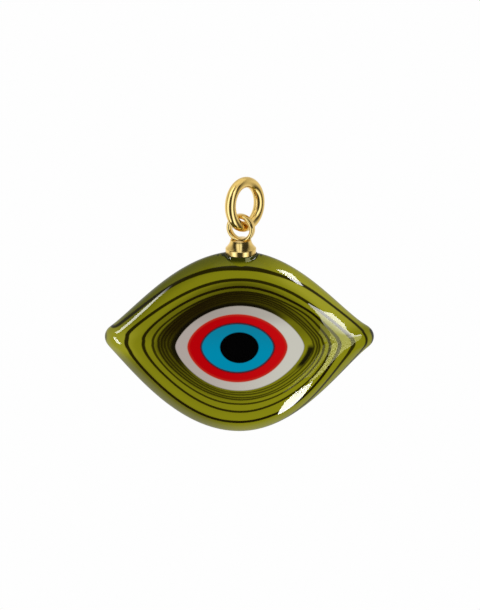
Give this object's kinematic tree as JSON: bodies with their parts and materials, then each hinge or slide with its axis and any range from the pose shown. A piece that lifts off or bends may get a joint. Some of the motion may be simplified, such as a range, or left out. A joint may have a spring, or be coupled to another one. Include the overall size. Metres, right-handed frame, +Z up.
{
  "type": "evil eye pendant",
  "caption": "Almond-shaped olive glass pendant with an eye of stacked glass layers in its front, a gold cap with a loop, and a jump ring that carries it.",
  "frame": {"origin": "top of the inside of the jump ring, where a chain, cord or bail carries the pendant", "axes": "+Z up, +X towards the right of someone who looks at the eye, and the eye faces -Y"},
  "size_m": [0.028, 0.0072, 0.0273],
  "materials": {
    "olive_glass": "glossy",
    "white_glass": "glossy",
    "red_glass": "glossy",
    "blue_glass": "glossy",
    "black_glass": "glossy",
    "gold": "polished"
  },
  "bodies": {
    "ring": {"jump_ring": "gold"},
    "pendant": {"glass_body": "olive_glass", "eye_white": "white_glass", "eye_red": "red_glass", "eye_blue": "blue_glass", "pupil": "black_glass", "loop_cap": "gold"}
  },
  "joints": [
    {"name": "swing", "type": "hinge", "parent": "ring", "child": "pendant", "pos_m": [-0.00028, -0.00069, -0.00282], "axis": [-0.9136, 0.4067, 0], "range_deg": [-25, 75]}
  ]
}
